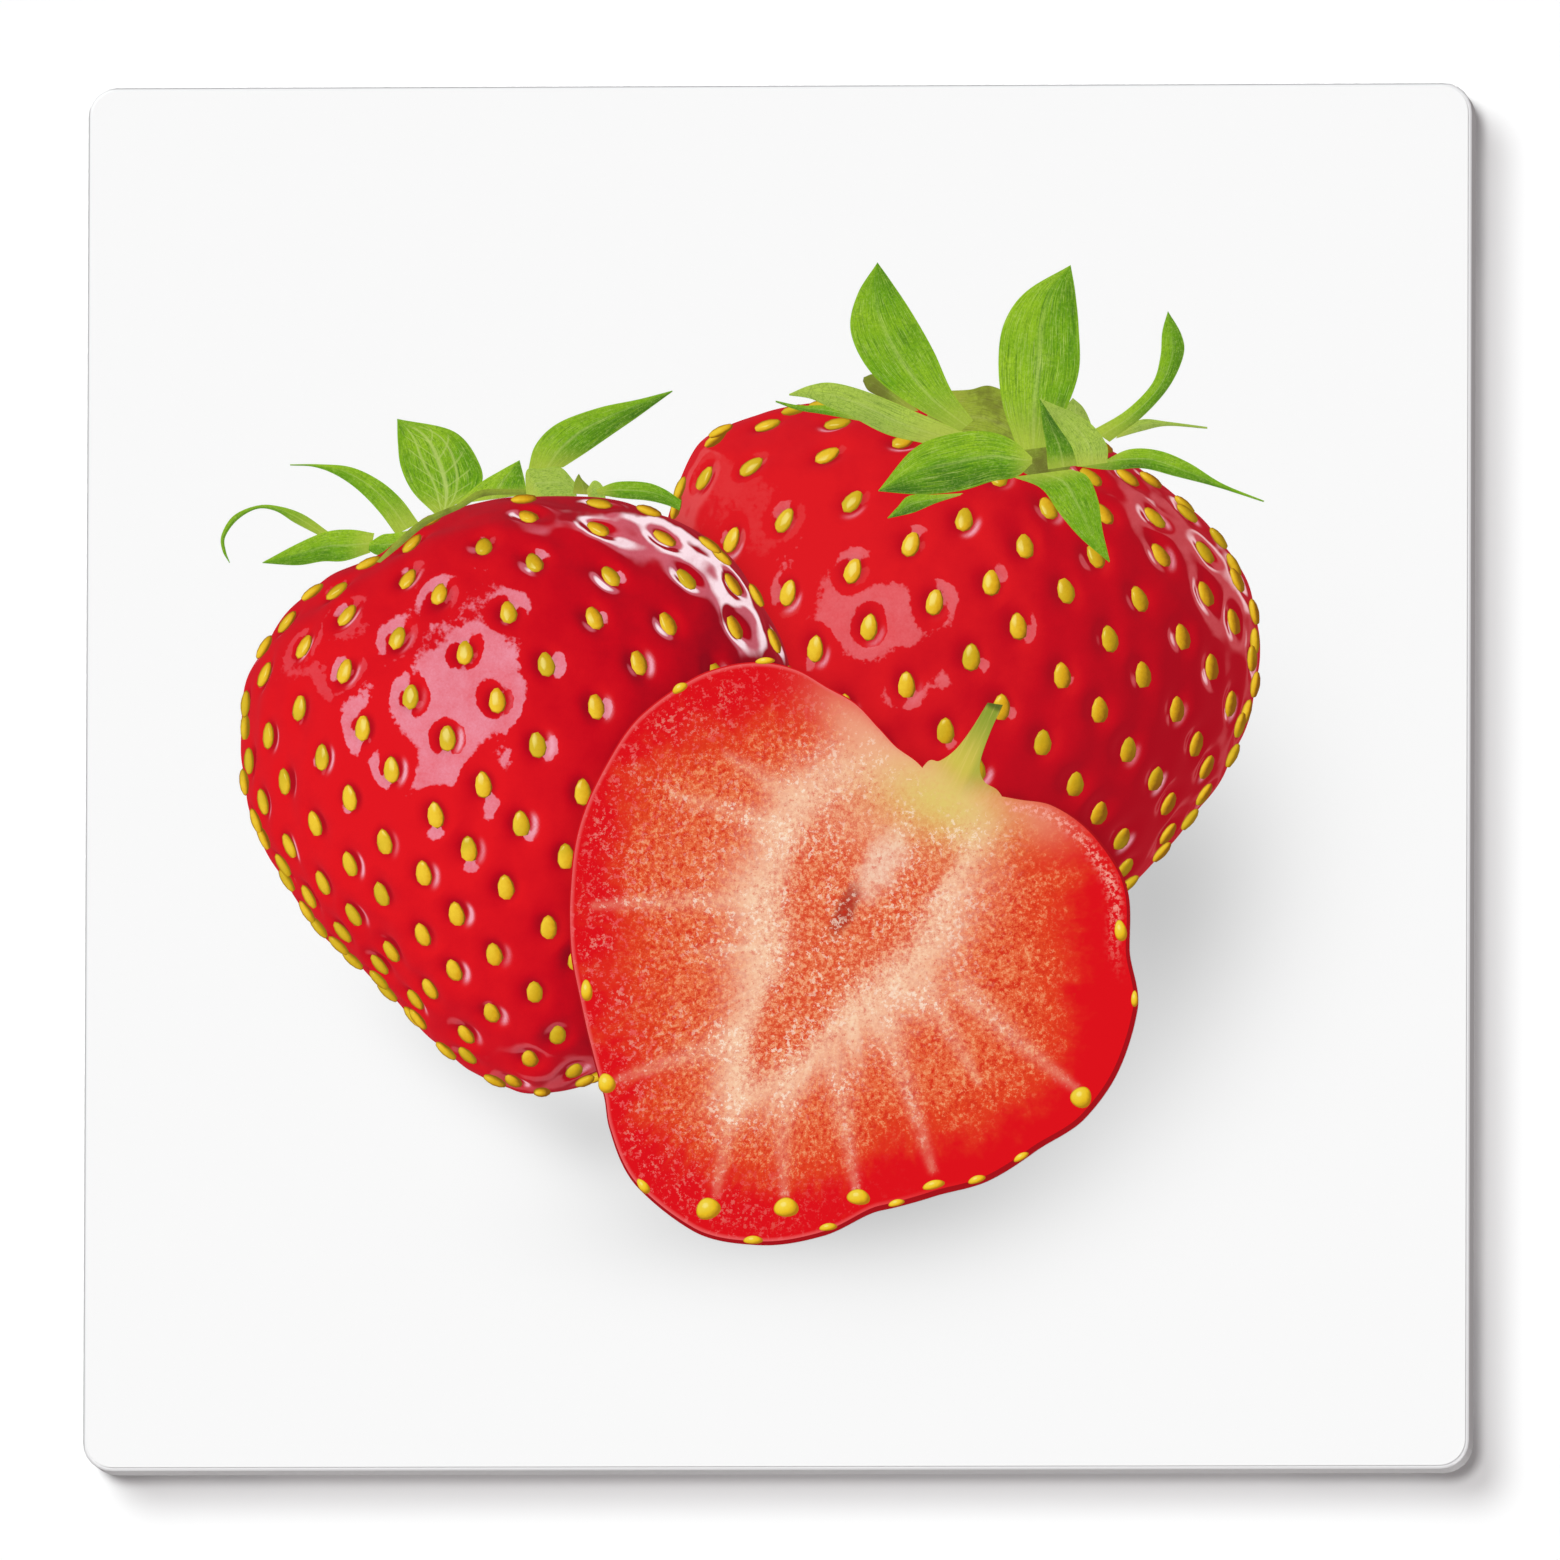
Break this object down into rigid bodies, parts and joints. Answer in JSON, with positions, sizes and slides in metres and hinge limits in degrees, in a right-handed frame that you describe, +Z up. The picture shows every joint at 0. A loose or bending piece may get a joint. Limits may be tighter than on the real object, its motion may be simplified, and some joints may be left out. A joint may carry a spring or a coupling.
{
  "type": "printed wall board",
  "caption": "Square wall board of folded white steel with rounded corners, a printed picture of strawberries on its front and keyhole plates behind.",
  "frame": {"origin": "centre of the board, in the plane of the wall that the rubber bumpers rest on", "axes": "+Z up the wall, +X to the right as seen from the front, +Y into the wall; the printed front looks along -Y"},
  "size_m": [0.37, 0.0234, 0.37],
  "materials": {
    "coated_steel": "smooth white powder coat",
    "printed_film": "satin clear cover over a colour print",
    "zinc_plate": "zinc plated",
    "rivet": "bright",
    "rubber": "matte",
    "tape": "foam"
  },
  "bodies": {
    "root": {"front_tray": "coated_steel", "print_layer": "printed_film", "corner_plate_lower_left": "zinc_plate", "corner_plate_lower_right": "zinc_plate", "corner_plate_upper_right": "zinc_plate", "corner_plate_upper_left": "zinc_plate", "hanger_plate_left": "zinc_plate", "hanger_plate_right": "zinc_plate", "hanger_rivet_1": "rivet", "hanger_rivet_2": "rivet", "hanger_rivet_3": "rivet", "hanger_rivet_4": "rivet", "corner_rivet_lower_left_level": "rivet", "corner_rivet_lower_left_upright": "rivet", "corner_rivet_lower_right_level": "rivet", "corner_rivet_lower_right_upright": "rivet", "corner_rivet_upper_right_level": "rivet", "corner_rivet_upper_right_upright": "rivet", "corner_rivet_upper_left_level": "rivet", "corner_rivet_upper_left_upright": "rivet", "bumper_lower_left": "rubber", "bumper_lower_right": "rubber", "bumper_upper_right": "rubber", "bumper_upper_left": "rubber", "stiffener_rail_left": "zinc_plate", "stiffener_rail_right": "zinc_plate", "mounting_tape_left_outer": "tape", "mounting_tape_left_inner": "tape", "mounting_tape_right_outer": "tape", "mounting_tape_right_inner": "tape"}
  },
  "joints": []
}
